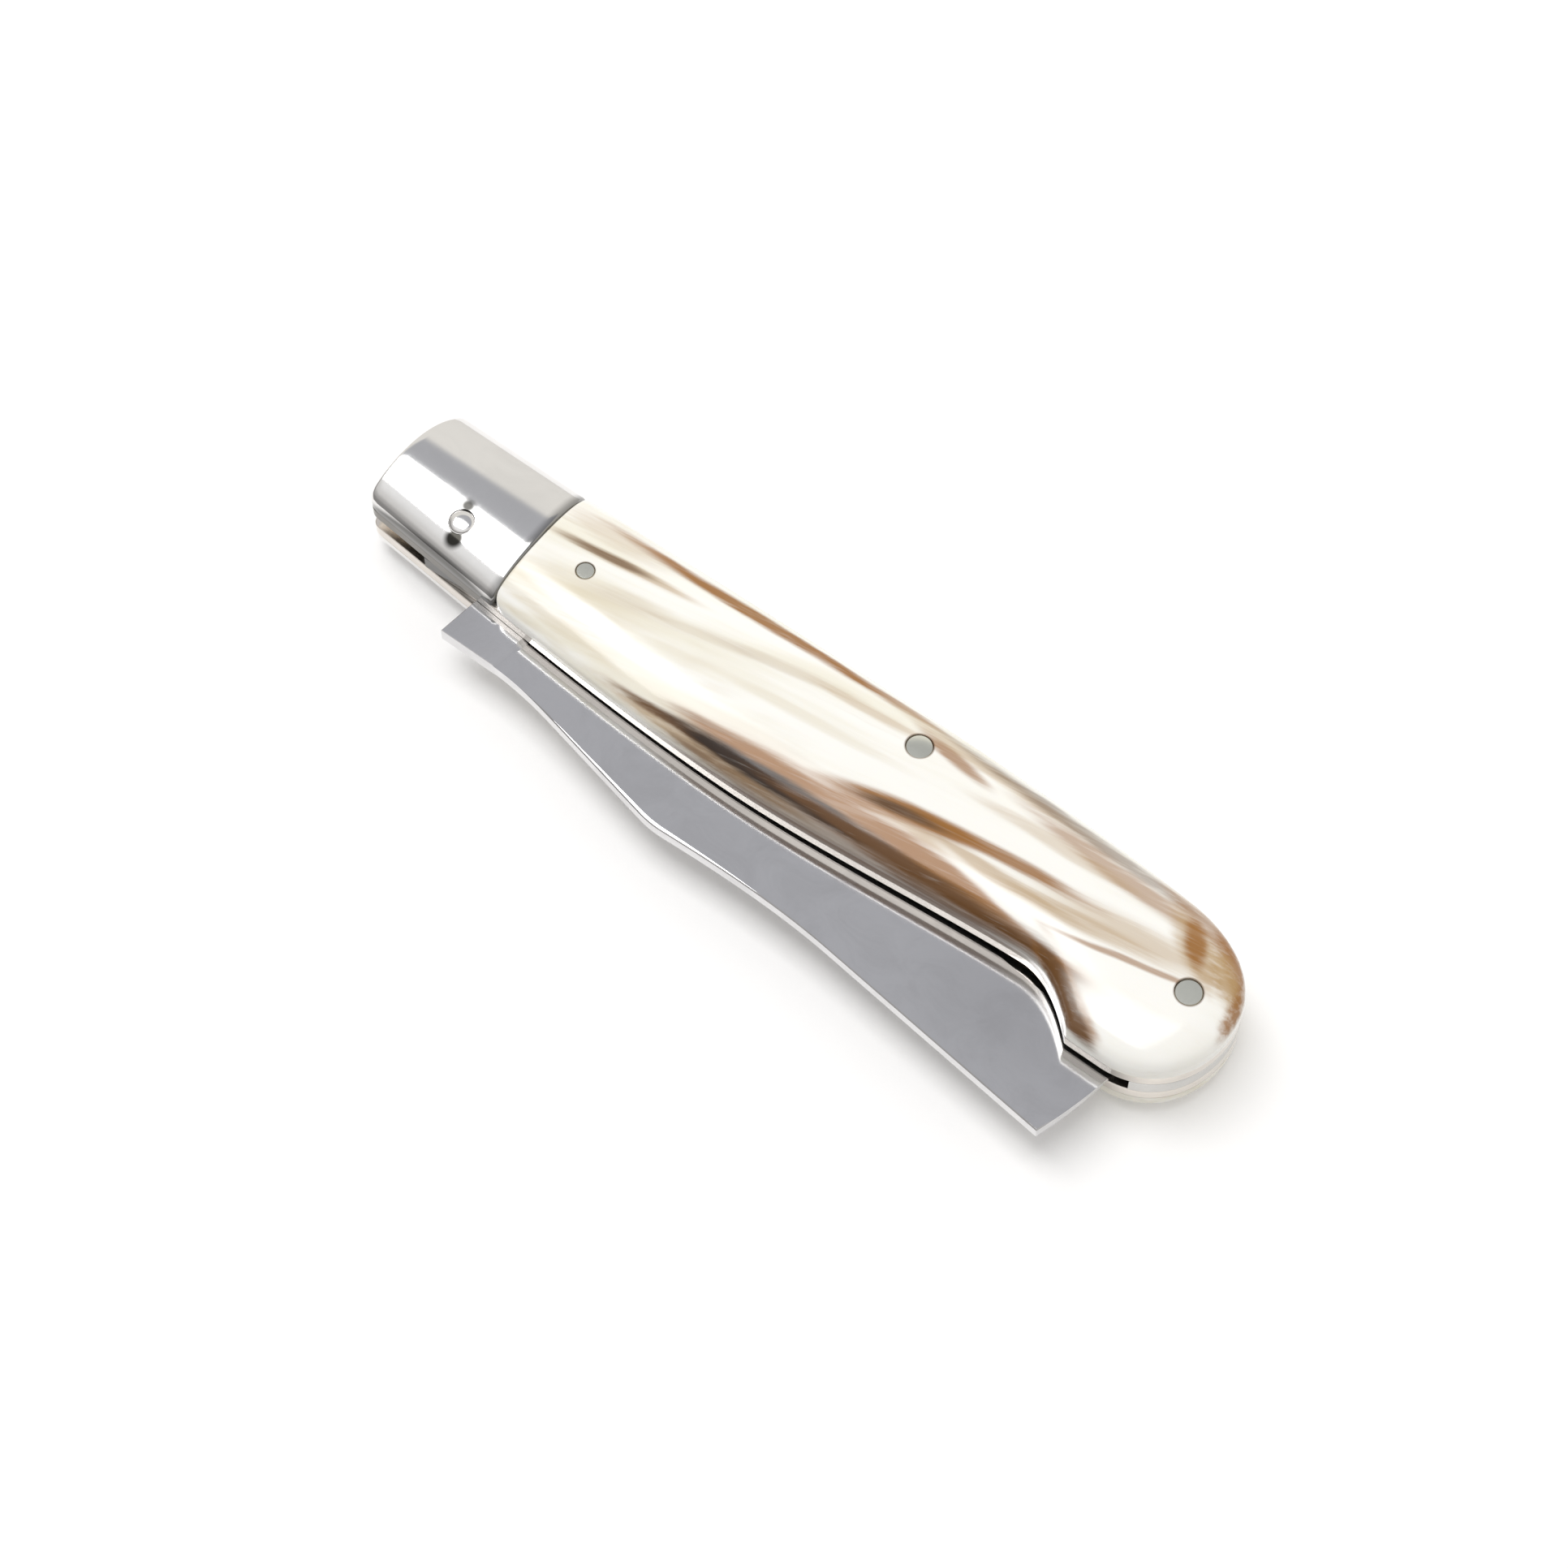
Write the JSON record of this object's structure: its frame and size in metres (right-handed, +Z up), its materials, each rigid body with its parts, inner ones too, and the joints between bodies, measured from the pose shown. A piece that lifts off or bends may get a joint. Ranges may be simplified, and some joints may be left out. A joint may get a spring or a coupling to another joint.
{
  "type": "folding pocket knife",
  "caption": "Slip-joint folding knife with a square-ended blade, a back spring, steel liners and bolsters, and domed horn scales; the blade swings out of the handle on its pivot pin.",
  "frame": {"origin": "middle of the underside of the closed knife's bounding box", "axes": "+X along the handle from the bolsters to the butt, +Y to the back of the handle, where the spring is, +Z up through the thickness from the bottom scale to the top scale"},
  "size_m": [0.1128, 0.0308, 0.0126],
  "materials": {
    "blade_steel": "satin to mirror polished",
    "spring_steel": "ground and polished on the back",
    "liner_steel": "polished edge",
    "bolster_steel": "mirror polished",
    "rivet_steel": "filed and polished",
    "horn": "polished, cream with brown streaks"
  },
  "bodies": {
    "handle": {"back_spring": "spring_steel", "top_liner": "liner_steel", "bottom_liner": "liner_steel", "top_bolster": "bolster_steel", "bottom_bolster": "bolster_steel", "top_scale": "horn", "bottom_scale": "horn", "pivot_pin": "bolster_steel", "top_front_rivet": "rivet_steel", "bottom_front_rivet": "rivet_steel", "spring_rivet": "rivet_steel", "tail_rivet": "rivet_steel"},
    "blade": {"blade": "blade_steel"}
  },
  "joints": [
    {"name": "blade_hinge", "type": "hinge", "parent": "handle", "child": "blade", "pos_m": [-0.04537, 0.00305, 0.0063], "axis": [0, 0, -1], "range_deg": [0, 180]}
  ]
}
